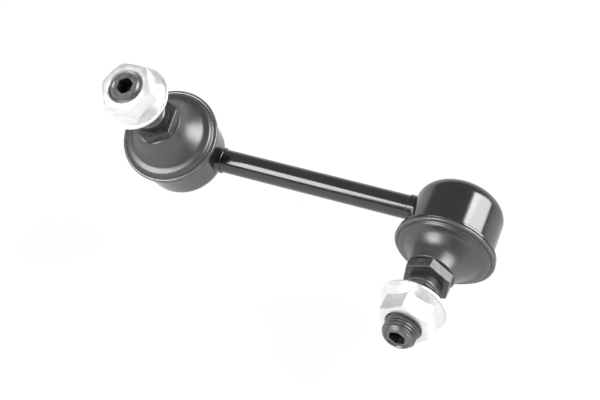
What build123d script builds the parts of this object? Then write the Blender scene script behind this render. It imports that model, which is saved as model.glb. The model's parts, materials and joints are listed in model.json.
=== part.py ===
from build123d import *
from math import cos, radians, sin, sqrt, tan
import os

os.makedirs("parts", exist_ok=True)

# A stabiliser link: a straight steel rod with a ball joint at each end. The two ball joints look
# 70 degrees apart. Each holds a threaded ball stud with a hexagon collar, a washer and a flange nut.
# Millimetres. The origin is the left ball's centre, X runs along the rod, Z is up.
# A height is a distance from the ball's centre along the housing's or the stud's own axis.

# How the two ends stand
centre_distance = 110.0
left_lean = 35.0
right_lean = 105.0
left_swing = 156.7
left_tilt = 3.75
right_swing = 127.9
right_tilt = 6.13

# Rod and its welds
rod_diameter = 9.0
rod_drop = 5.0
weld_length = 2.0
weld_rise = 0.45
weld_rounding = 0.4

# Housing cup with its flange
cup_radius = 16.25
cup_wall = 2.5
cup_corner = 6.25
rim_height = 8.8
flange_width = 1.95
flange_thickness = 1.2
flange_blend = 0.9
flange_edge = 0.35

# Ball and its plastic seat
ball_radius = 10.0
ball_clearance = 0.15
seat_floor = 1.1
seat_clearance = 0.1
seat_lip_height = 4.5

# Steel ring that closes the cup over the seat
closing_thickness = 2.0
closing_recess = 0.3
closing_hole_radius = 9.8

# Steel ring that clamps the boot's foot on the flange
base_ring_overhang = 0.25
base_ring_height = 1.35
base_ring_edge = 0.6
base_ring_seam = 0.3
base_ring_face_width = 1.5
base_ring_lip = 0.5

# Rubber dust boot. Its bell goes from the foot to the neck in circles: how far up, as a share of the
# whole rise, and how much wider than the neck's end, as a share of the foot's width over it.
boot_wall = 1.2
boot_foot_clearance = 0.15
boot_foot_reach = 0.65
boot_end_clearance = 0.3
boot_bell = [
    (0.000, 1.000),
    (0.128, 0.933),
    (0.291, 0.762),
    (0.419, 0.610),
    (0.558, 0.445),
    (0.756, 0.250),
    (1.000, 0.098),
]

# Ring in the boot's neck, on which the neck turns round the stud
neck_ring_width = 1.6
neck_ring_wall = 0.9
neck_ring_edge = 0.2
neck_clearance = 0.3
neck_lip = 0.5
neck_wall = 1.0

# Ball stud: neck, boot land, hexagon collar, plain shank and thread
neck_radius = 5.0
neck_length = 13.0
land_radius = 6.3
land_height = 16.5
collar_height = 25.5
collar_thickness = 3.9
collar_across_flats = 16.0
collar_corner_radius = 8.95
shank_radius = 6.0
shank_length = 3.2
stud_tip_height = 51.4
tip_chamfer = 1.2
thread_pitch = 1.25
thread_crest_flat = 0.16
thread_depth = 0.72
thread_flank = 30.0
socket_across_flats = 5.4
socket_depth = 6.5
socket_entry = 0.45
left_collar_turn = 31.4
right_collar_turn = 22.6

# Flange nut and its captive washer
nut_stack_height = 10.0
nut_across_flats = 17.0
nut_flange_radius = 11.1
nut_flange_edge = 0.5
nut_cone_height = 1.7
nut_bore_clearance = 0.1
nut_bore_chamfer = 0.6
nut_top_chamfer = 30.0
washer_radius = 12.0
washer_thickness = 1.0
washer_edge = 0.3
washer_hole_clearance = 0.5
left_washer_height = 40.7
right_washer_height = 35.6
left_nut_turn = 1.0
right_nut_turn = 35.3
hexagon_corners = 6

# What follows from them
hexagon_half_angle = 180 / hexagon_corners
rod_radius = rod_diameter / 2
cup_back = ball_radius + seat_floor + cup_wall
cup_bore_radius = cup_radius - cup_wall
flange_radius = cup_radius + flange_width
closing_top = rim_height - closing_recess
closing_back = closing_top - closing_thickness
base_ring_radius = flange_radius + base_ring_overhang
base_ring_mouth_radius = base_ring_radius - base_ring_face_width
base_ring_top = rim_height + base_ring_height
base_ring_lip_back = base_ring_top - base_ring_lip
boot_foot_radius = base_ring_mouth_radius - boot_foot_clearance
boot_foot_back = rim_height + boot_foot_clearance
boot_foot_top = base_ring_lip_back - boot_foot_clearance
collar_back = collar_height - collar_thickness
boot_end_height = collar_back - boot_end_clearance
neck_bore_radius = land_radius + neck_clearance
neck_ring_radius = neck_bore_radius + neck_ring_wall
neck_groove_radius = neck_ring_radius + neck_clearance
neck_groove_front = boot_end_height - neck_lip
neck_groove_back = neck_groove_front - neck_ring_width - 2 * neck_clearance
boot_neck_radius = neck_groove_radius + neck_wall
boot_neck_height = neck_groove_back - neck_lip
thread_start = collar_height + shank_length


def leaned(home, swing, tilt):
    """The housing's plane, leaned by tilt about the ball's centre towards the swing direction."""
    sideways = Vector(1, 0, 0).rotate(Axis.Z, swing)
    direction = Vector(0, 0, cos(radians(tilt))) + sideways * sin(radians(tilt))
    point = home.from_local_coords(direction)
    return Plane(origin=home.origin, x_dir=(1, 0, 0), z_dir=point - home.origin)


class JointEnd:
    """One end of the link: its planes at the ball's centre, and what differs from the other end."""

    def __init__(self, name, rod_point, lean, swing, tilt, collar_turn, washer_height, nut_turn):
        direction = Vector(0, -sin(radians(lean)), cos(radians(lean)))
        centre = rod_point + direction * rod_drop
        self.name = name
        self.swing = swing
        self.tilt = tilt
        self.collar_turn = collar_turn
        self.washer_height = washer_height
        self.nut_turn = nut_turn
        self.home = Plane(origin=centre, x_dir=(1, 0, 0), z_dir=direction)
        self.stud = leaned(self.home, swing, tilt)


def axis_of(plane):
    """The line through the plane's origin along its Z."""
    return Axis(plane.origin, plane.z_dir)


def half_section(plane, corners):
    """A face through the plane's axis, from corners given as (radius, height, rounding)."""
    upright = Plane(origin=plane.origin, x_dir=plane.x_dir, z_dir=-plane.y_dir)
    with BuildSketch(upright) as section:
        with BuildLine():
            FilletPolyline(
                [(radius, height) for radius, height, rounding in corners],
                radius=[rounding for radius, height, rounding in corners],
                close=True,
            )
        make_face()
    return section.sketch


def hexagon(flat_radius, turn):
    """A hexagon in the open sketch, from the distance of its flats to the middle and its turn."""
    RegularPolygon(flat_radius, hexagon_corners, major_radius=False, rotation=turn)


def bell_circles(end):
    """The boot's outer circles from the foot to the neck, each leaned a little more: plane, radius."""
    rise = boot_neck_height - boot_foot_top
    widening = boot_foot_radius - boot_neck_radius
    circles = []
    for rise_share, width_share in boot_bell:
        plane = leaned(end.home, end.swing, end.tilt * rise_share)
        height = boot_foot_top + rise_share * rise
        circles.append((plane.offset(height), boot_neck_radius + width_share * widening))
    return circles


def cup_blank(end):
    """The outer form of the housing cup below its flange, as a full solid."""
    corners = [
        (0, -cup_back, 0),
        (cup_radius, -cup_back, cup_corner),
        (cup_radius, rim_height, 0),
        (0, rim_height, 0),
    ]
    with BuildPart() as blank:
        revolve(half_section(end.home, corners), axis=axis_of(end.home))
    return blank.part


rod_start = Vector(0, sin(radians(left_lean)), -cos(radians(left_lean))) * rod_drop
rod_end = rod_start + Vector(centre_distance, 0, 0)
rod_plane = Plane(origin=rod_start, x_dir=(0, 1, 0), z_dir=(1, 0, 0))

left = JointEnd(
    name="left",
    rod_point=rod_start,
    lean=left_lean,
    swing=left_swing,
    tilt=left_tilt,
    collar_turn=left_collar_turn,
    washer_height=left_washer_height,
    nut_turn=left_nut_turn,
)
right = JointEnd(
    name="right",
    rod_point=rod_end,
    lean=right_lean,
    swing=right_swing,
    tilt=right_tilt,
    collar_turn=right_collar_turn,
    washer_height=right_washer_height,
    nut_turn=right_nut_turn,
)


def make_rod():
    """The rod, its two ends cut to lie on the cups' walls."""
    with BuildPart() as rod:
        with BuildSketch(rod_plane):
            Circle(rod_radius)
        extrude(amount=centre_distance)
        add(cup_blank(left), mode=Mode.SUBTRACT)
        add(cup_blank(right), mode=Mode.SUBTRACT)
    rod.part.label = "rod"
    export_step(rod.part, "parts/rod.step")


def make_weld_bead(end):
    """The weld round the rod's end: a rounded ring that runs out on the cup's wall."""
    if end is left:
        foot, towards_middle = 0, 1
    else:
        foot, towards_middle = centre_distance, -1
    bead_plane = Plane(
        origin=rod_start + Vector(foot, 0, 0), x_dir=(0, 1, 0), z_dir=(towards_middle, 0, 0)
    )
    bead_top = cup_radius + weld_length
    corners = [
        (rod_radius, cup_bore_radius, 0),
        (rod_radius + weld_rise, cup_bore_radius, 0),
        (rod_radius + weld_rise, bead_top, weld_rounding),
        (rod_radius, bead_top, 0),
    ]
    with BuildPart() as weld_bead:
        revolve(half_section(bead_plane, corners), axis=axis_of(bead_plane))
        add(cup_blank(end), mode=Mode.SUBTRACT)
    weld_bead.part.label = f"{end.name}_weld_bead"
    export_step(weld_bead.part, f"parts/{end.name}_weld_bead.step")


def make_housing(end):
    """The drawn steel cup, closed at the back, with a flange round its open end."""
    flange_back = rim_height - flange_thickness
    corners = [
        (0, -cup_back, 0),
        (cup_radius, -cup_back, cup_corner),
        (cup_radius, flange_back, flange_blend),
        (flange_radius, flange_back, flange_edge),
        (flange_radius, rim_height, flange_edge),
        (cup_bore_radius, rim_height, 0),
        (cup_bore_radius, cup_wall - cup_back, cup_corner - cup_wall),
        (0, cup_wall - cup_back, 0),
    ]
    with BuildPart() as housing:
        revolve(half_section(end.home, corners), axis=axis_of(end.home))
    housing.part.label = f"{end.name}_housing"
    export_step(housing.part, f"parts/{end.name}_housing.step")


def make_ball_seat(end):
    """The plastic shell round the ball, with a lip past the ball's middle and a cone at its mouth."""
    seat_radius = cup_bore_radius - seat_clearance
    seat_back = cup_wall - cup_back + seat_clearance
    seat_top = closing_back - seat_clearance
    hollow_radius = ball_radius + ball_clearance
    lip_radius = sqrt(hollow_radius**2 - seat_lip_height**2)
    seat_corner = cup_corner - cup_wall - seat_clearance
    body_corners = [
        (0, seat_back, 0),
        (seat_radius, seat_back, seat_corner),
        (seat_radius, seat_top, 0),
        (0, seat_top, 0),
    ]
    mouth_corners = [
        (0, seat_lip_height, 0),
        (lip_radius, seat_lip_height, 0),
        (closing_hole_radius, seat_top, 0),
        (0, seat_top, 0),
    ]
    with BuildPart() as ball_seat:
        revolve(half_section(end.home, body_corners), axis=axis_of(end.home))
        revolve(half_section(end.home, mouth_corners), axis=axis_of(end.home), mode=Mode.SUBTRACT)
        with Locations(end.home):
            Sphere(hollow_radius, mode=Mode.SUBTRACT)
    ball_seat.part.label = f"{end.name}_ball_seat"
    export_step(ball_seat.part, f"parts/{end.name}_ball_seat.step")


def make_closing_ring(end):
    """The flat ring pressed into the cup's mouth over the seat."""
    with BuildPart() as closing_ring:
        with BuildSketch(end.home.offset(closing_back)):
            Circle(cup_bore_radius)
            Circle(closing_hole_radius, mode=Mode.SUBTRACT)
        extrude(amount=closing_thickness)
    closing_ring.part.label = f"{end.name}_closing_ring"
    export_step(closing_ring.part, f"parts/{end.name}_closing_ring.step")


def make_boot_base_ring(end):
    """The ring on the flange: a rounded outer edge and a lip over the boot's foot."""
    cavity_radius = boot_foot_radius + boot_foot_reach + boot_foot_clearance
    corners = [
        (cavity_radius, rim_height, 0),
        (base_ring_radius - base_ring_seam, rim_height, 0),
        (base_ring_radius, rim_height + base_ring_seam, 0),
        (base_ring_radius, base_ring_top, base_ring_edge),
        (base_ring_mouth_radius, base_ring_top, 0),
        (base_ring_mouth_radius, base_ring_lip_back, 0),
        (cavity_radius, base_ring_lip_back, 0),
    ]
    with BuildPart() as boot_base_ring:
        revolve(half_section(end.home, corners), axis=axis_of(end.home))
    boot_base_ring.part.label = f"{end.name}_boot_base_ring"
    export_step(boot_base_ring.part, f"parts/{end.name}_boot_base_ring.step")


def make_dust_boot(end):
    """The rubber bell: a foot under the base ring's lip, a shouldered wall and a neck round the stud."""
    foot_corners = [
        (boot_foot_radius - boot_wall, boot_foot_back, 0),
        (boot_foot_radius + boot_foot_reach, boot_foot_back, 0),
        (boot_foot_radius + boot_foot_reach, boot_foot_top, 0),
        (boot_foot_radius - boot_wall, boot_foot_top, 0),
    ]
    bore_corners = [
        (0, boot_neck_height, 0),
        (neck_bore_radius, boot_neck_height, 0),
        (neck_bore_radius, neck_groove_back, 0),
        (neck_groove_radius, neck_groove_back, 0),
        (neck_groove_radius, neck_groove_front, 0),
        (neck_bore_radius, neck_groove_front, 0),
        (neck_bore_radius, boot_end_height, 0),
        (0, boot_end_height, 0),
    ]
    bell = bell_circles(end)
    neck_end = (end.stud.offset(boot_end_height), boot_neck_radius)
    with BuildPart() as dust_boot:
        for plane, radius in bell + [neck_end]:
            with BuildSketch(plane):
                Circle(radius)
        loft()
        for plane, radius in bell:
            with BuildSketch(plane):
                Circle(radius - boot_wall)
        loft(mode=Mode.SUBTRACT)
        revolve(half_section(end.home, foot_corners), axis=axis_of(end.home))
        revolve(half_section(end.stud, bore_corners), axis=axis_of(end.stud), mode=Mode.SUBTRACT)
    dust_boot.part.label = f"{end.name}_dust_boot"
    export_step(dust_boot.part, f"parts/{end.name}_dust_boot.step")


def make_boot_neck_ring(end):
    """The ring in the inner groove of the boot's neck."""
    back = neck_groove_back + neck_clearance
    front = neck_groove_front - neck_clearance
    corners = [
        (neck_bore_radius, back, neck_ring_edge),
        (neck_ring_radius, back, neck_ring_edge),
        (neck_ring_radius, front, neck_ring_edge),
        (neck_bore_radius, front, neck_ring_edge),
    ]
    with BuildPart() as boot_neck_ring:
        revolve(half_section(end.stud, corners), axis=axis_of(end.stud))
    boot_neck_ring.part.label = f"{end.name}_boot_neck_ring"
    export_step(boot_neck_ring.part, f"parts/{end.name}_boot_neck_ring.step")


def thread_outline():
    """Corners of the thread as (radius, height), a ridge for each pitch; the shank ends in the first."""
    root_radius = shank_radius - thread_depth
    flank_height = thread_depth * tan(radians(thread_flank))
    crest_front = thread_start
    corners = []
    while crest_front < stud_tip_height + thread_pitch:
        crest_back = crest_front - thread_crest_flat
        corners.append((shank_radius, crest_back))
        corners.append((shank_radius, crest_front))
        corners.append((root_radius, crest_front + flank_height))
        corners.append((root_radius, crest_back + thread_pitch - flank_height))
        crest_front += thread_pitch
    return corners


def make_ball_stud(end):
    """The forged stud: ball, neck, boot land, hexagon collar, plain shank, thread, hexagon socket."""
    shaft_corners = [
        (0, 0),
        (neck_radius, 0),
        (neck_radius, neck_length),
        (land_radius, land_height),
        (land_radius, collar_back),
        (shank_radius, collar_back),
    ]
    shaft_corners += thread_outline()
    shaft_corners.append((0, shaft_corners[-1][1]))
    tip_corners = [
        (0, 0, 0),
        (collar_corner_radius, 0, 0),
        (collar_corner_radius, stud_tip_height - tip_chamfer - (collar_corner_radius - shank_radius), 0),
        (shank_radius - tip_chamfer, stud_tip_height, 0),
        (0, stud_tip_height, 0),
    ]
    entry_radius = socket_across_flats / 2 + socket_entry
    entry_corners = [
        (0, stud_tip_height - entry_radius, 0),
        (entry_radius, stud_tip_height, 0),
        (0, stud_tip_height, 0),
    ]
    upright = Plane(origin=end.stud.origin, x_dir=end.stud.x_dir, z_dir=-end.stud.y_dir)
    with BuildPart() as ball_stud:
        with BuildSketch(upright):
            with BuildLine():
                Polyline(shaft_corners, close=True)
            make_face()
        revolve(axis=axis_of(end.stud))
        revolve(half_section(end.stud, tip_corners), axis=axis_of(end.stud), mode=Mode.INTERSECT)
        with Locations(end.stud):
            Sphere(ball_radius)
        with BuildSketch(end.stud.offset(collar_back)):
            hexagon(collar_across_flats / 2, end.collar_turn)
            Circle(collar_corner_radius, mode=Mode.INTERSECT)
        extrude(amount=collar_thickness)
        with BuildSketch(end.stud.offset(stud_tip_height)):
            hexagon(socket_across_flats / 2, end.collar_turn)
        extrude(amount=-socket_depth, mode=Mode.SUBTRACT)
        revolve(half_section(end.stud, entry_corners), axis=axis_of(end.stud), mode=Mode.SUBTRACT)
    ball_stud.part.label = f"{end.name}_ball_stud"
    export_step(ball_stud.part, f"parts/{end.name}_ball_stud.step")


def make_washer(end):
    """The flat washer held under the nut."""
    hole_radius = shank_radius + washer_hole_clearance
    top = end.washer_height + washer_thickness
    corners = [
        (hole_radius, end.washer_height, 0),
        (washer_radius, end.washer_height, washer_edge),
        (washer_radius, top, washer_edge),
        (hole_radius, top, 0),
    ]
    with BuildPart() as washer:
        revolve(half_section(end.stud, corners), axis=axis_of(end.stud))
    washer.part.label = f"{end.name}_washer"
    export_step(washer.part, f"parts/{end.name}_washer.step")


def make_nut(end):
    """The flange nut: a conical flange, a hexagon with a turned top, and a plain bore."""
    back = end.washer_height + washer_thickness
    top = end.washer_height + nut_stack_height
    bore_radius = shank_radius + nut_bore_clearance
    mouth_radius = bore_radius + nut_bore_chamfer
    flat_radius = nut_across_flats / 2
    corner_radius = flat_radius / cos(radians(hexagon_half_angle))
    turned_drop = (corner_radius - flat_radius) * tan(radians(nut_top_chamfer))
    flange_corners = [
        (bore_radius, back, 0),
        (nut_flange_radius, back, 0),
        (nut_flange_radius, back + nut_flange_edge, 0),
        (flat_radius, back + nut_flange_edge + nut_cone_height, 0),
        (bore_radius, back + nut_flange_edge + nut_cone_height, 0),
    ]
    turned_corners = [
        (0, back, 0),
        (nut_flange_radius, back, 0),
        (nut_flange_radius, top - turned_drop - (nut_flange_radius - corner_radius), 0),
        (corner_radius, top - turned_drop, 0),
        (flat_radius, top, 0),
        (0, top, 0),
    ]
    bore_corners = [
        (0, back, 0),
        (mouth_radius, back, 0),
        (bore_radius, back + nut_bore_chamfer, 0),
        (bore_radius, top - nut_bore_chamfer, 0),
        (mouth_radius, top, 0),
        (0, top, 0),
    ]
    with BuildPart() as nut:
        with BuildSketch(end.stud.offset(back)):
            hexagon(flat_radius, end.nut_turn)
        extrude(amount=top - back)
        revolve(half_section(end.stud, turned_corners), axis=axis_of(end.stud), mode=Mode.INTERSECT)
        revolve(half_section(end.stud, flange_corners), axis=axis_of(end.stud))
        revolve(half_section(end.stud, bore_corners), axis=axis_of(end.stud), mode=Mode.SUBTRACT)
    nut.part.label = f"{end.name}_nut"
    export_step(nut.part, f"parts/{end.name}_nut.step")


make_rod()
for link_end in (left, right):
    make_weld_bead(link_end)
    make_housing(link_end)
    make_ball_seat(link_end)
    make_closing_ring(link_end)
    make_boot_base_ring(link_end)
    make_dust_boot(link_end)
    make_boot_neck_ring(link_end)
    make_ball_stud(link_end)
    make_washer(link_end)
    make_nut(link_end)
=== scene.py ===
import json
import math

import bmesh
import bpy
import numpy as np
from mathutils import Matrix, Vector


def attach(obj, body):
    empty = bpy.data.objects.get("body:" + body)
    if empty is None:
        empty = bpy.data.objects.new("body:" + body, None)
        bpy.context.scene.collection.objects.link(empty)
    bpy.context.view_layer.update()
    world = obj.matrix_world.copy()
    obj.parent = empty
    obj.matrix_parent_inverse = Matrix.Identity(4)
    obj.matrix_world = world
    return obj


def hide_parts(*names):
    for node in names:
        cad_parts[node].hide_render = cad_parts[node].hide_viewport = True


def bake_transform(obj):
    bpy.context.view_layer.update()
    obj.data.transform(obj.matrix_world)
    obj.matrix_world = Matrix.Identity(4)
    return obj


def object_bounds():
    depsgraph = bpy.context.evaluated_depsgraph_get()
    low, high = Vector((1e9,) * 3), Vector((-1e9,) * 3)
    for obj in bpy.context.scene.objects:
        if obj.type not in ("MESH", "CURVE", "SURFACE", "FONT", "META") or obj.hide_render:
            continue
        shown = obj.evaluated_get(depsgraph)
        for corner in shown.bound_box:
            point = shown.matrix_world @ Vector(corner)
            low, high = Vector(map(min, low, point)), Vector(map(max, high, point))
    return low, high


# An anti-roll bar link on a pale studio floor. Lengths are metres in the part's own frame.
# Sizes that the part also has are written in millimetres and multiplied by MM.
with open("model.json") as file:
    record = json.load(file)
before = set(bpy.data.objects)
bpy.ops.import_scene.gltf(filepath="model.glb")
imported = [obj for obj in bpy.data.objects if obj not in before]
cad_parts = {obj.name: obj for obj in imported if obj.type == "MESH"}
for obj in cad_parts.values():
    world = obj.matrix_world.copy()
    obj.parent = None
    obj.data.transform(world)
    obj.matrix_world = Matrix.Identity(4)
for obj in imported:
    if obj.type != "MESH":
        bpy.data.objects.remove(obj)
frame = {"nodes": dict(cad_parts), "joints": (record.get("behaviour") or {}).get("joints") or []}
cad_box = [list(corner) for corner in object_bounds()]
MM = 0.001

# Camera, fitted to the photograph
CAMERA_AIM = (0.0550, -0.0109, -0.0020)
CAMERA_DISTANCE = 0.40866
CAMERA_AZIMUTH = 22.48
CAMERA_ELEVATION = 37.96
CAMERA_ROLL = 0.27
CAMERA_LENS = 67.72
SENSOR_WIDTH = 36.0
CAMERA_NEAR = 0.01
CAMERA_FAR = 50.0

# Boot base ring and dust boot, in millimetres. Points are (radius, height), ahead of the ball's centre.
BASE_RING_SECTION = [
    (17.8, 8.8),
    (17.9, 8.8),
    (17.95, 9.2),
    (18.32, 9.28),
    (18.42, 9.4),
    (18.42, 9.6),
    (18.34, 9.86),
    (18.18, 10.04),
    (17.96, 10.13),
    (17.75, 10.15),
    (17.2, 10.15),
    (17.15, 10.1),
    (17.15, 9.65),
    (17.8, 9.65),
]
BOOT_MOUTH_RADIUS = 17.0
BOOT_FOOT_REACH = 0.65
BOOT_FOOT_BACK = 8.95
BOOT_FOOT_TOP = 9.5
BOOT_SHOULDER = [
    (17.14, 10.14),
    (16.9, 10.35),
    (16.7, 10.7),
    (16.5, 11.1),
    (16.2, 11.45),
    (15.85, 11.63),
    (15.3, 11.78),
    (14.7, 11.93),
    (14.2, 12.1),
    (13.8, 12.32),
]
BOOT_BELL = [
    (13.8, 12.32),
    (13.4, 12.64),
    (13.0, 13.03),
    (12.5, 13.56),
    (12.0, 14.12),
    (11.5, 14.72),
    (11.0, 15.38),
    (10.5, 16.14),
    (10.0, 17.06),
    (9.6, 18.0),
    (9.3, 18.9),
    (9.05, 19.85),
    (8.88, 20.6),
    (8.8, 21.1),
]
BOOT_NECK_HEIGHT = 18.1
BOOT_END_RADIUS = 8.6
BOOT_END_HEIGHT = 21.3
BOOT_BORE_RADIUS = 6.6
BOOT_WALL = 1.2
CURVE_STEPS = 3

# Ball stud, in millimetres, heights ahead of the ball's centre
BALL_RADIUS = 10.0
BALL_POLE_ANGLE = -89.5
BALL_STEPS = 48
NECK_RADIUS = 5.0
NECK_LENGTH = 13.0
LAND_RADIUS = 6.3
LAND_HEIGHT = 16.5
COLLAR_BACK = 21.6
COLLAR_FACE = 25.5
COLLAR_FLAT = 8.0
COLLAR_CORNER = 9.2
COLLAR_BACK_CHAMFER = 0.25
COLLAR_FACE_CHAMFER = 0.2
COLLAR_TURN = {"left": 31.4, "right": 22.6}
SHANK_RADIUS = 6.0
SHANK_ROOT_REACH = 0.25
SHANK_ROOT_RISE = 0.2
THREAD_START = 28.7
THREAD_PITCH = 1.25
THREAD_DEPTH = 0.72
THREAD_CREST = 0.16
THREAD_HALF_ANGLE = 30.0
THREAD_RUN_IN = 0.8 * THREAD_PITCH
TIP_HEIGHT = 51.4
TIP_CHAMFER = 1.25
SOCKET_FLAT = 2.7
SOCKET_DEPTH = 6.5
SOCKET_ENTRY = 0.12
SOCKET_POINT = 1.0
TIP_RIM = 0.35
TIP_DISH = 0.45
TIP_DISH_SLOPE = 0.35

# Nut and washer, in millimetres
NUT_FLAT = 8.5
NUT_FLANGE = 11.1
NUT_FLANGE_EDGE = 0.5
NUT_RIM_BACK_EASE = 0.15
NUT_RIM_FRONT_EASE = 0.1
NUT_CONE = 1.7
NUT_FOOT_RISE = 0.1
NUT_FACET_EASE = 0.12
NUT_TOP_EASE = 0.35
NUT_TOP_ANGLE = 30.0
NUT_STACK = 10.0
NUT_BORE = 6.1
NUT_BORE_CHAMFER = 0.6
NUT_TURN = {"left": 1.0, "right": 35.3}
WASHER_RADIUS = 12.0
WASHER_BORE = 6.5
WASHER_THICKNESS = 1.0
WASHER_EDGE = 0.3
WASHER_HEIGHT = {"left": 40.7, "right": 35.6}

# Light of the white room on surfaces. Reflections see the room white where a direction times CEILING_SLOPE
# is under CEILING_START, and in the ceiling's tone where it is over CEILING_END.
ROOM_LIGHT = 0.25
CEILING_TONE = 0.33
CEILING_SLOPE = (0.11, -0.5, 1.0)
CEILING_START = -0.18
CEILING_END = 0.04

# Softboxes as (name, azimuth, elevation, width, height, power), all at one distance
SOFTBOX_DISTANCE = 1.2
SOFTBOXES = [
    ("right_softbox", 104, 36, 0.86, 0.92, 18.5),
    ("right_softbox_edge", 130, 37, 0.16, 0.86, 1.3),
    ("left_softbox", -34, 36, 0.72, 0.74, 13.0),
]

# The floor leaves room under the part for the right stud at its lowest lean
FLOOR_DROP = 0.027
FLOOR_REACH = 6.0
FLOOR_GREY = 0.9
FLOOR_GLOW = 0.9

# Part of a noise texture's range that its patches use
PATCH_LOW = 0.3
PATCH_HIGH = 0.7

SEGMENTS = 192
WELD_DISTANCE = 0.5e-6
SIDES = ("left", "right")
JOINTS = {joint["name"]: joint for joint in frame["joints"]}


def plane_of(joint_name):
    """The matrix of a plane at the joint's point: Z along its axis, X as near the rod as it can be."""
    joint = JOINTS[joint_name]
    along = Vector(joint["axis"]).normalized()
    across = (Vector((1, 0, 0)) - along * along.x).normalized()
    turned_up = along.cross(across)
    columns = Matrix((across, turned_up, along)).transposed().to_4x4()
    return Matrix.Translation(joint["pos_m"]) @ columns


HOME = {side: plane_of(f"{side}_swing") for side in SIDES}
STUD = {side: plane_of(f"{side}_stud_spin") for side in SIDES}


def angles():
    """The angles of the segments round a turned piece."""
    return np.linspace(0, 2 * math.pi, SEGMENTS, endpoint=False)


def hexagon(theta, flat_radius, turn):
    """The radius of a hexagon at each angle; turn is the angle of a corner in degrees."""
    sixth = math.pi / 3
    from_flat = np.mod(theta - math.radians(turn), sixth) - sixth / 2
    return flat_radius / np.cos(from_flat)


def arc(centre_radius, centre_height, radius, start, end, steps=6):
    """Points of an arc in the section plane as (radius, height); angles in degrees."""
    return [
        (
            centre_radius + radius * math.cos(math.radians(a)),
            centre_height + radius * math.sin(math.radians(a)),
        )
        for a in np.linspace(start, end, steps + 1)
    ]


def new_piece(name, vertices, faces, sharp_angle=30):
    """A smooth mesh piece with sharp edges kept where faces meet at more than sharp_angle."""
    mesh = bpy.data.meshes.new(name)
    mesh.from_pydata([tuple(v) for v in vertices], [], faces)
    bm = bmesh.new()
    bm.from_mesh(mesh)
    bmesh.ops.remove_doubles(bm, verts=bm.verts, dist=WELD_DISTANCE)
    bmesh.ops.dissolve_degenerate(bm, edges=bm.edges, dist=WELD_DISTANCE)
    bmesh.ops.recalc_face_normals(bm, faces=bm.faces)
    for face in bm.faces:
        face.smooth = True
    for edge in bm.edges:
        if edge.is_manifold:
            edge.smooth = edge.calc_face_angle(0) < math.radians(sharp_angle)
    bm.to_mesh(mesh)
    bm.free()
    piece = bpy.data.objects.new(name, mesh)
    bpy.context.scene.collection.objects.link(piece)
    return piece


def ring_points(rows):
    """Local points of a turned surface. A row is (radius, height); either may vary round the axis."""
    theta = angles()
    points = []
    for radius, height in rows:
        radii = np.broadcast_to(np.asarray(radius, float), theta.shape)
        heights = np.broadcast_to(np.asarray(height, float), theta.shape)
        points.append(np.stack([radii * np.cos(theta), radii * np.sin(theta), heights], axis=1))
    return np.stack(points) * MM


def ring_faces(row_count, closed):
    """Quads between neighbouring rows, and from the last row to the first where closed."""
    faces = []
    for row in range(row_count if closed else row_count - 1):
        following = (row + 1) % row_count
        for step in range(SEGMENTS):
            beside = (step + 1) % SEGMENTS
            faces.append(
                (
                    row * SEGMENTS + step,
                    row * SEGMENTS + beside,
                    following * SEGMENTS + beside,
                    following * SEGMENTS + step,
                )
            )
    return faces


def turned(name, rows, matrix, closed=True, sharp_angle=30):
    """A turned piece from rows of points round the matrix's Z."""
    local = ring_points(rows).reshape(-1, 3)
    placed = [matrix @ Vector(p) for p in local]
    return new_piece(name, placed, ring_faces(len(rows), closed), sharp_angle)


def join_pieces(name, pieces):
    """One mesh object from several."""
    bpy.ops.object.select_all(action="DESELECT")
    for piece in pieces:
        piece.select_set(True)
    bpy.context.view_layer.objects.active = pieces[0]
    bpy.ops.object.join()
    pieces[0].name = name
    pieces[0].data.name = name
    return pieces[0]


# Materials


def new_material(name):
    """A node material and its Principled shader."""
    material = bpy.data.materials.new(name)
    material.use_nodes = True
    return material, material.node_tree.nodes["Principled BSDF"]


def add_noise(material, scale, detail=4.0):
    """A noise texture in object space; scale is in features per metre."""
    nodes, links = material.node_tree.nodes, material.node_tree.links
    place = nodes.new("ShaderNodeTexCoord")
    noise = nodes.new("ShaderNodeTexNoise")
    noise.inputs["Scale"].default_value = scale
    noise.inputs["Detail"].default_value = detail
    links.new(place.outputs["Object"], noise.inputs["Vector"])
    return noise.outputs["Fac"]


def spread(material, value, low, high):
    """Maps a noise value's patches onto low to high."""
    nodes, links = material.node_tree.nodes, material.node_tree.links
    mapping = nodes.new("ShaderNodeMapRange")
    mapping.inputs["From Min"].default_value = PATCH_LOW
    mapping.inputs["From Max"].default_value = PATCH_HIGH
    mapping.inputs["To Min"].default_value = low
    mapping.inputs["To Max"].default_value = high
    links.new(value, mapping.inputs["Value"])
    return mapping.outputs["Result"]


def blend_colours(material, value, first, second):
    """A colour between two, by a value from 0 to 1."""
    nodes, links = material.node_tree.nodes, material.node_tree.links
    mix = nodes.new("ShaderNodeMix")
    mix.data_type = "RGBA"
    mix.inputs["A"].default_value = (*first, 1)
    mix.inputs["B"].default_value = (*second, 1)
    links.new(value, mix.inputs["Factor"])
    return mix.outputs["Result"]


def add_bump(material, shader, scale, depth, detail=3.0):
    """Fine unevenness; scale is in features per metre, and depth in millimetres."""
    nodes, links = material.node_tree.nodes, material.node_tree.links
    bump = nodes.new("ShaderNodeBump")
    bump.inputs["Distance"].default_value = depth * MM
    links.new(add_noise(material, scale, detail), bump.inputs["Height"])
    links.new(bump.outputs["Normal"], shader.inputs["Normal"])


def patchy_material(name, scale, first, second, roughness):
    """A material whose colour and roughness drift in soft patches, and its shader."""
    material, shader = new_material(name)
    links = material.node_tree.links
    patches = add_noise(material, scale)
    colour = blend_colours(material, spread(material, patches, 0, 1), first, second)
    links.new(colour, shader.inputs["Base Color"])
    links.new(spread(material, patches, *roughness), shader.inputs["Roughness"])
    return material, shader


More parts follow.
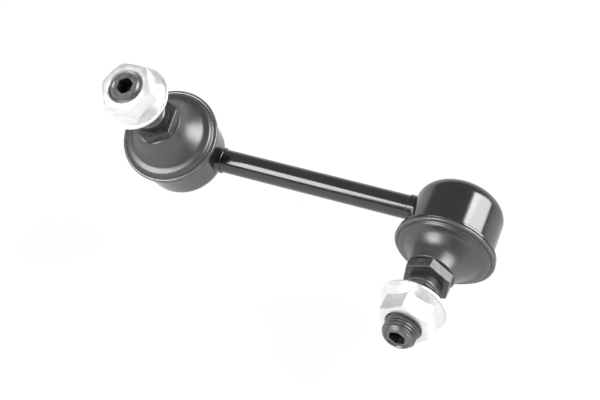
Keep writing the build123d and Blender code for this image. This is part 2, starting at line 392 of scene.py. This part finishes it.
def make_paint():
    """Black stoved paint on steel: glossy, with a faint orange peel."""
    greys = (0.008, 0.008, 0.009), (0.012, 0.012, 0.013)
    material, shader = patchy_material("black_paint", 160, *greys, (0.10, 0.17))
    shader.inputs["Specular IOR Level"].default_value = 1.0
    add_bump(material, shader, 900, 0.003, detail=2.0)
    return material


def make_ring_paint():
    """Thin black oxide on the pressed base rings: the steel still shines through."""
    greys = (0.11, 0.11, 0.112), (0.15, 0.15, 0.152)
    material, shader = patchy_material("satin_paint", 300, *greys, (0.20, 0.30))
    shader.inputs["Metallic"].default_value = 0.45
    shader.inputs["Specular IOR Level"].default_value = 1.0
    add_bump(material, shader, 2200, 0.006)
    return material


def make_rubber():
    """Dark grey moulded rubber with a soft shine."""
    greys = (0.016, 0.016, 0.0165), (0.026, 0.026, 0.026)
    material, shader = patchy_material("boot_rubber", 220, *greys, (0.33, 0.40))
    shader.inputs["Specular IOR Level"].default_value = 1.0
    shader.inputs["IOR"].default_value = 1.6
    add_bump(material, shader, 3200, 0.003)
    return material


def make_zinc():
    """Bright zinc plate, slightly uneven."""
    greys = (0.82, 0.82, 0.83), (0.90, 0.90, 0.91)
    material, shader = patchy_material("zinc_plate", 420, *greys, (0.30, 0.42))
    shader.inputs["Metallic"].default_value = 0.72
    add_bump(material, shader, 2400, 0.006)
    return material


def make_phosphate(name, dark, light, roughness):
    """Phosphated steel with lighter rubbed patches, between two greys."""
    material, shader = patchy_material(name, 500, (dark,) * 3, (light,) * 3, roughness)
    shader.inputs["Metallic"].default_value = 0.6
    shader.inputs["Specular IOR Level"].default_value = 0.25
    add_bump(material, shader, 3000, 0.008)
    return material


def make_seat_plastic():
    """Pale natural acetal of the hidden ball seat."""
    shades = (0.78, 0.77, 0.72), (0.86, 0.85, 0.81)
    return patchy_material("seat_plastic", 200, *shades, (0.35, 0.45))[0]


def make_spring_steel():
    """Turned steel of the boot's neck ring."""
    greys = (0.20, 0.20, 0.21), (0.30, 0.30, 0.31)
    material, shader = patchy_material("spring_steel", 700, *greys, (0.28, 0.40))
    shader.inputs["Metallic"].default_value = 1.0
    return material


def make_floor_material():
    """Pale floor: white to the camera, with the object's soft shadow left on it."""
    material, shader = new_material("studio_floor")
    nodes, links = material.node_tree.nodes, material.node_tree.links
    shader.inputs["Base Color"].default_value = (FLOOR_GREY, FLOOR_GREY, FLOOR_GREY, 1)
    shader.inputs["Roughness"].default_value = 0.9
    glow = nodes.new("ShaderNodeEmission")
    glow.inputs["Color"].default_value = (1, 1, 1, 1)
    mix = nodes.new("ShaderNodeMixShader")
    mix.inputs["Fac"].default_value = FLOOR_GLOW
    output = nodes["Material Output"]
    links.new(shader.outputs["BSDF"], mix.inputs[1])
    links.new(glow.outputs["Emission"], mix.inputs[2])
    links.new(mix.outputs["Shader"], output.inputs["Surface"])
    return material


PAINT = make_paint()
RING_PAINT = make_ring_paint()
RUBBER = make_rubber()
ZINC = make_zinc()
STUD_STEEL = make_phosphate("stud_steel", 0.07, 0.13, (0.26, 0.38))
# A darker copy of the stud's phosphate: painted shade on the plain shank and down in the hexagon socket
SHANK_STEEL_PAINTED_SHADE = make_phosphate("shank_steel_painted_shade", 0.03, 0.06, (0.44, 0.54))
# A lighter copy of the stud's phosphate: painted highlight on the cut thread and the turned tip
THREAD_STEEL_PAINTED_HIGHLIGHT = make_phosphate("thread_steel_painted_highlight", 0.12, 0.20, (0.26, 0.38))
SEAT_PLASTIC = make_seat_plastic()
SPRING_STEEL = make_spring_steel()


def finish_piece(piece, material):
    """Gives a new piece its material."""
    piece.data.materials.clear()
    piece.data.materials.append(material)


def paint_nodes():
    """Gives each CAD node that stays in the scene its material."""
    materials = {
        "rod": PAINT,
        "housing": PAINT,
        "weld_bead": PAINT,
        "closing_ring": PAINT,
        "ball_seat": SEAT_PLASTIC,
        "boot_neck_ring": SPRING_STEEL,
    }
    for name, node in frame["nodes"].items():
        kind = name.removeprefix("left_").removeprefix("right_")
        if kind in materials:
            node.data.materials.clear()
            node.data.materials.append(materials[kind])


# Pieces


def smooth_curve(points):
    """More points on a smooth curve through the given ones."""
    ends = [points[0]] + list(points) + [points[-1]]
    p = np.array(ends, float)
    curve = []
    for before, start, end, after in zip(p, p[1:], p[2:], p[3:]):
        for t in np.linspace(0, 1, CURVE_STEPS, endpoint=False):
            slope_in = (end - before) / 2
            slope_out = (after - start) / 2
            curve.append(
                (2 * t**3 - 3 * t**2 + 1) * start
                + (t**3 - 2 * t**2 + t) * slope_in
                + (3 * t**2 - 2 * t**3) * end
                + (t**3 - t**2) * slope_out
            )
    return [tuple(point) for point in curve] + [points[-1]]


def boot_rows():
    """The boot's section as (radius, height): outside up to the neck, then down the bore and inside."""
    bell = smooth_curve(BOOT_BELL)
    foot = [
        (BOOT_MOUTH_RADIUS - BOOT_WALL, BOOT_FOOT_BACK),
        (BOOT_MOUTH_RADIUS + BOOT_FOOT_REACH, BOOT_FOOT_BACK),
        (BOOT_MOUTH_RADIUS + BOOT_FOOT_REACH, BOOT_FOOT_TOP),
        (BOOT_MOUTH_RADIUS, BOOT_FOOT_TOP),
    ]
    neck = [
        (BOOT_END_RADIUS, BOOT_END_HEIGHT),
        (BOOT_BORE_RADIUS, BOOT_END_HEIGHT),
        (BOOT_BORE_RADIUS, BOOT_NECK_HEIGHT),
    ]
    under_neck = [point for point in BOOT_SHOULDER + BOOT_BELL[1:] if point[1] < BOOT_NECK_HEIGHT]
    inside = [(radius - BOOT_WALL, height - BOOT_WALL / 2) for radius, height in under_neck[::-1]]
    return foot + smooth_curve(BOOT_SHOULDER) + bell[1:] + neck + inside


def make_base_ring(side):
    """The ring round the boot's foot, with the dark seam between it and the flange."""
    ring = turned(f"{side}_clamp_ring", BASE_RING_SECTION, HOME[side], sharp_angle=50)
    finish_piece(ring, RING_PAINT)
    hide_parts(f"{side}_boot_base_ring")
    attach(ring, "link")


def make_boot(side):
    """The rubber bell, leaned at its neck with the stud and bent between the two bodies."""
    rows = boot_rows()
    local = ring_points(rows)
    home, stud = HOME[side], STUD[side]
    lean = (home.inverted() @ stud).to_quaternion()
    axis, angle = lean.to_axis_angle()
    placed = []
    for (radius, height), ring in zip(rows, local):
        share = min(max((height - BOOT_FOOT_TOP) / (BOOT_NECK_HEIGHT - BOOT_FOOT_TOP), 0), 1)
        bend = home @ Matrix.Rotation(angle * share, 4, axis)
        placed += [bend @ Vector(p) for p in ring]
    boot = new_piece(f"{side}_boot", placed, ring_faces(len(rows), True), sharp_angle=50)
    finish_piece(boot, RUBBER)
    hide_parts(f"{side}_dust_boot")
    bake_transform(boot)


def thread_rows():
    """The threaded stretch as local points: rows that climb one pitch in a turn, cut at both ends."""
    flank = THREAD_DEPTH * math.tan(math.radians(THREAD_HALF_ANGLE))
    profile = [
        (0.0, 0.0),
        (THREAD_CREST, 0.0),
        (THREAD_CREST + flank * 0.5, 0.5),
        (THREAD_CREST + flank, 1.0),
        (THREAD_PITCH - flank, 1.0),
        (THREAD_PITCH - flank * 0.5, 0.5),
    ]
    theta = np.linspace(0, 2 * math.pi, SEGMENTS + 1)
    turns = math.ceil((TIP_HEIGHT - THREAD_START) / THREAD_PITCH)
    rings = []
    # Spare turns at both ends, which the clip cuts off
    for turn in range(-1, turns + 2):
        for offset, depth in profile:
            height = THREAD_START + (turn + theta / (2 * math.pi)) * THREAD_PITCH + offset
            height = np.clip(height, THREAD_START, TIP_HEIGHT)
            fade = np.clip((height - THREAD_START) / THREAD_RUN_IN, 0, 1)
            radius = SHANK_RADIUS - THREAD_DEPTH * depth * fade
            tip_cone = SHANK_RADIUS - TIP_CHAMFER + (TIP_HEIGHT - height)
            radius = np.minimum(radius, tip_cone)
            rings.append(np.stack([radius * np.cos(theta), radius * np.sin(theta), height], axis=1))
    return np.stack(rings) * MM


def make_thread(side):
    """The cut thread as a mesh whose rows join up after each turn."""
    rings = thread_rows()
    placed = [STUD[side] @ Vector(p) for p in rings.reshape(-1, 3)]
    width = SEGMENTS + 1
    faces = []
    for row in range(len(rings) - 1):
        for step in range(SEGMENTS):
            corner = row * width + step
            faces.append((corner, corner + 1, corner + width + 1, corner + width))
    return new_piece(f"{side}_thread", placed, faces, sharp_angle=25)


def make_stud(side):
    """The ball stud with its collar, cut thread, turned tip and hexagon socket."""
    theta = angles()
    turn = COLLAR_TURN[side]
    collar = np.minimum(hexagon(theta, COLLAR_FLAT, turn), COLLAR_CORNER)
    socket = hexagon(theta, SOCKET_FLAT, turn)
    ball_end = math.degrees(math.acos(NECK_RADIUS / BALL_RADIUS))
    body_rows = [(0.0, -BALL_RADIUS)]
    body_rows += arc(0, 0, BALL_RADIUS, BALL_POLE_ANGLE, ball_end, BALL_STEPS)
    body_rows += [
        (NECK_RADIUS, NECK_LENGTH),
        (LAND_RADIUS, LAND_HEIGHT),
        (LAND_RADIUS, COLLAR_BACK),
        (collar - COLLAR_BACK_CHAMFER, COLLAR_BACK),
        (collar, COLLAR_BACK + COLLAR_BACK_CHAMFER),
        (collar, COLLAR_FACE - COLLAR_FACE_CHAMFER),
        (collar - COLLAR_FACE_CHAMFER, COLLAR_FACE),
        (SHANK_RADIUS + SHANK_ROOT_REACH, COLLAR_FACE),
    ]
    shank_rows = [
        (SHANK_RADIUS + SHANK_ROOT_REACH, COLLAR_FACE),
        (SHANK_RADIUS, COLLAR_FACE + SHANK_ROOT_RISE),
        (SHANK_RADIUS, THREAD_START),
    ]
    entry = SOCKET_FLAT + SOCKET_ENTRY
    tip_radius = SHANK_RADIUS - TIP_CHAMFER
    tip_rows = [
        (tip_radius, TIP_HEIGHT),
        (tip_radius - TIP_RIM, TIP_HEIGHT),
        (tip_radius - TIP_RIM - TIP_DISH_SLOPE, TIP_HEIGHT - TIP_DISH),
        (np.maximum(entry, socket), TIP_HEIGHT - TIP_DISH),
    ]
    socket_rows = [
        (np.maximum(entry, socket), TIP_HEIGHT - TIP_DISH),
        (socket, TIP_HEIGHT - TIP_DISH - SOCKET_ENTRY),
        (socket, TIP_HEIGHT - SOCKET_DEPTH),
        (0.0, TIP_HEIGHT - SOCKET_DEPTH - SOCKET_POINT),
    ]
    stretches = [
        (turned(f"{side}_stud_body", body_rows, STUD[side], closed=False), STUD_STEEL),
        # The plain shank has the darker copy, as painted shade
        (turned(f"{side}_stud_shank", shank_rows, STUD[side], closed=False), SHANK_STEEL_PAINTED_SHADE),
        # The cut thread has the lighter copy, as painted highlight
        (make_thread(side), THREAD_STEEL_PAINTED_HIGHLIGHT),
        # The turned tip has the lighter copy, as painted highlight
        (turned(f"{side}_stud_tip", tip_rows, STUD[side], closed=False), THREAD_STEEL_PAINTED_HIGHLIGHT),
        # The hexagon socket has the darker copy, as painted shade in the recess
        (turned(f"{side}_stud_socket", socket_rows, STUD[side], closed=False), SHANK_STEEL_PAINTED_SHADE),
    ]
    for stretch, material in stretches:
        stretch.data.materials.append(material)
    stud = join_pieces(f"{side}_stud_forging", [stretch for stretch, _ in stretches])
    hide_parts(f"{side}_ball_stud")
    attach(stud, f"{side}_stud")


def make_nut(side):
    """The flange nut: cone, hexagon with turned top corners, countersunk bore."""
    theta = angles()
    hexagonal = hexagon(theta, NUT_FLAT, NUT_TURN[side])
    back = WASHER_HEIGHT[side] + WASHER_THICKNESS
    top = WASHER_HEIGHT[side] + NUT_STACK
    slope = NUT_CONE / (NUT_FLANGE - NUT_FLAT)
    cone_meet = back + NUT_FLANGE_EDGE + (NUT_FLANGE - hexagonal) * slope
    corner_drop = (hexagonal - NUT_FLAT) * math.tan(math.radians(NUT_TOP_ANGLE))
    rows = [
        (NUT_BORE + NUT_BORE_CHAMFER, back),
        (NUT_FLANGE - NUT_RIM_BACK_EASE, back),
        (NUT_FLANGE, back + NUT_RIM_BACK_EASE),
        (NUT_FLANGE, back + NUT_FLANGE_EDGE - NUT_RIM_FRONT_EASE),
        (NUT_FLANGE - NUT_RIM_FRONT_EASE, back + NUT_FLANGE_EDGE),
        (hexagonal + NUT_FACET_EASE, cone_meet - NUT_FACET_EASE * slope),
        (hexagonal, cone_meet + NUT_FOOT_RISE),
        (hexagonal, top - corner_drop - NUT_TOP_EASE),
        (hexagonal - NUT_FACET_EASE, top - corner_drop - NUT_FACET_EASE),
        (NUT_FLAT - NUT_TOP_EASE, top),
        (NUT_BORE + NUT_BORE_CHAMFER, top),
        (NUT_BORE, top - NUT_BORE_CHAMFER),
        (NUT_BORE, back + NUT_BORE_CHAMFER),
    ]
    nut = turned(f"{side}_flange_nut", rows, STUD[side])
    finish_piece(nut, ZINC)
    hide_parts(f"{side}_nut")
    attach(nut, f"{side}_nut_turner")


def make_washer(side):
    """The washer under the nut's flange, with rounded rims."""
    back = WASHER_HEIGHT[side]
    top = back + WASHER_THICKNESS
    edge = WASHER_RADIUS - WASHER_EDGE
    rows = [(WASHER_BORE, back)]
    rows += arc(edge, back + WASHER_EDGE, WASHER_EDGE, -90, 0)
    rows += arc(edge, top - WASHER_EDGE, WASHER_EDGE, 0, 90)
    rows += [(WASHER_BORE, top)]
    washer = turned(f"{side}_plain_washer", rows, STUD[side])
    finish_piece(washer, ZINC)
    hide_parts(f"{side}_washer")
    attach(washer, f"{side}_washer_slider")


def make_floor():
    """A plain pale floor, low enough for the right stud to swing over it."""
    level = cad_box[0][2] - FLOOR_DROP
    mesh = bpy.data.meshes.new("floor")
    signs = ((-1, -1), (1, -1), (1, 1), (-1, 1))
    corners = [(x * FLOOR_REACH, y * FLOOR_REACH, level) for x, y in signs]
    mesh.from_pydata(corners, [], [(0, 1, 2, 3)])
    floor = bpy.data.objects.new("floor", mesh)
    bpy.context.scene.collection.objects.link(floor)
    floor.data.materials.append(make_floor_material())


def direction(azimuth, elevation):
    """A unit vector from the object: azimuth 0 points to -Y and 90 to +X."""
    a, e = math.radians(azimuth), math.radians(elevation)
    return Vector((math.sin(a) * math.cos(e), -math.cos(a) * math.cos(e), math.sin(e)))


def add_softbox(name, azimuth, elevation, width, height, power):
    """A rectangular area lamp that faces the object's middle."""
    lamp = bpy.data.lights.new(name, "AREA")
    lamp.shape = "RECTANGLE"
    lamp.size = width
    lamp.size_y = height
    lamp.energy = power
    holder = bpy.data.objects.new(name, lamp)
    bpy.context.scene.collection.objects.link(holder)
    away = direction(azimuth, elevation)
    holder.location = Vector(CAMERA_AIM) + away * SOFTBOX_DISTANCE
    holder.rotation_euler = away.to_track_quat("Z", "Y").to_euler()
    holder.visible_camera = False


def make_world():
    """A white room for the camera. Reflections see it white behind, and greyer above and in front."""
    world = bpy.data.worlds.new("studio")
    world.use_nodes = True
    bpy.context.scene.world = world
    nodes, links = world.node_tree.nodes, world.node_tree.links
    backdrop = nodes["Background"]
    backdrop.inputs["Color"].default_value = (1, 1, 1, 1)
    place = nodes.new("ShaderNodeTexCoord")
    height = nodes.new("ShaderNodeVectorMath")
    height.operation = "DOT_PRODUCT"
    height.inputs[1].default_value = CEILING_SLOPE
    links.new(place.outputs["Generated"], height.inputs[0])
    ceiling = nodes.new("ShaderNodeMapRange")
    ceiling.interpolation_type = "SMOOTHSTEP"
    ceiling.inputs["From Min"].default_value = CEILING_START
    ceiling.inputs["From Max"].default_value = CEILING_END
    ceiling.inputs["To Min"].default_value = 1.0
    ceiling.inputs["To Max"].default_value = CEILING_TONE
    links.new(height.outputs["Value"], ceiling.inputs["Value"])
    rays = nodes.new("ShaderNodeLightPath")
    mirrored = nodes.new("ShaderNodeMath")
    mirrored.operation = "MAXIMUM"
    links.new(rays.outputs["Is Glossy Ray"], mirrored.inputs[0])
    links.new(rays.outputs["Is Transmission Ray"], mirrored.inputs[1])
    in_mirror = nodes.new("ShaderNodeMapRange")
    in_mirror.inputs["To Min"].default_value = ROOM_LIGHT
    links.new(mirrored.outputs["Value"], in_mirror.inputs["Value"])
    links.new(ceiling.outputs["Result"], in_mirror.inputs["To Max"])
    strength = nodes.new("ShaderNodeMapRange")
    strength.inputs["To Max"].default_value = 1.0
    links.new(rays.outputs["Is Camera Ray"], strength.inputs["Value"])
    links.new(in_mirror.outputs["Result"], strength.inputs["To Min"])
    links.new(strength.outputs["Result"], backdrop.inputs["Strength"])


def make_lights():
    """The softboxes, placed where the photograph's highlights show them."""
    for softbox in SOFTBOXES:
        add_softbox(*softbox)


def make_camera():
    """The camera at the photograph's view."""
    data = bpy.data.cameras.new("camera")
    data.lens = CAMERA_LENS
    data.sensor_width = SENSOR_WIDTH
    data.clip_start = CAMERA_NEAR
    data.clip_end = CAMERA_FAR
    camera = bpy.data.objects.new("camera", data)
    bpy.context.scene.collection.objects.link(camera)
    back = direction(CAMERA_AZIMUTH, CAMERA_ELEVATION)
    camera.location = Vector(CAMERA_AIM) + back * CAMERA_DISTANCE
    upright = back.to_track_quat("Z", "Y")
    roll = Matrix.Rotation(math.radians(CAMERA_ROLL), 4, "Z")
    camera.rotation_euler = (upright.to_matrix().to_4x4() @ roll).to_euler()
    bpy.context.scene.camera = camera


paint_nodes()
for side in SIDES:
    make_base_ring(side)
    make_boot(side)
    make_stud(side)
    make_nut(side)
    make_washer(side)
make_floor()
make_world()
make_lights()
make_camera()
bpy.context.scene.view_settings.view_transform = "Standard"
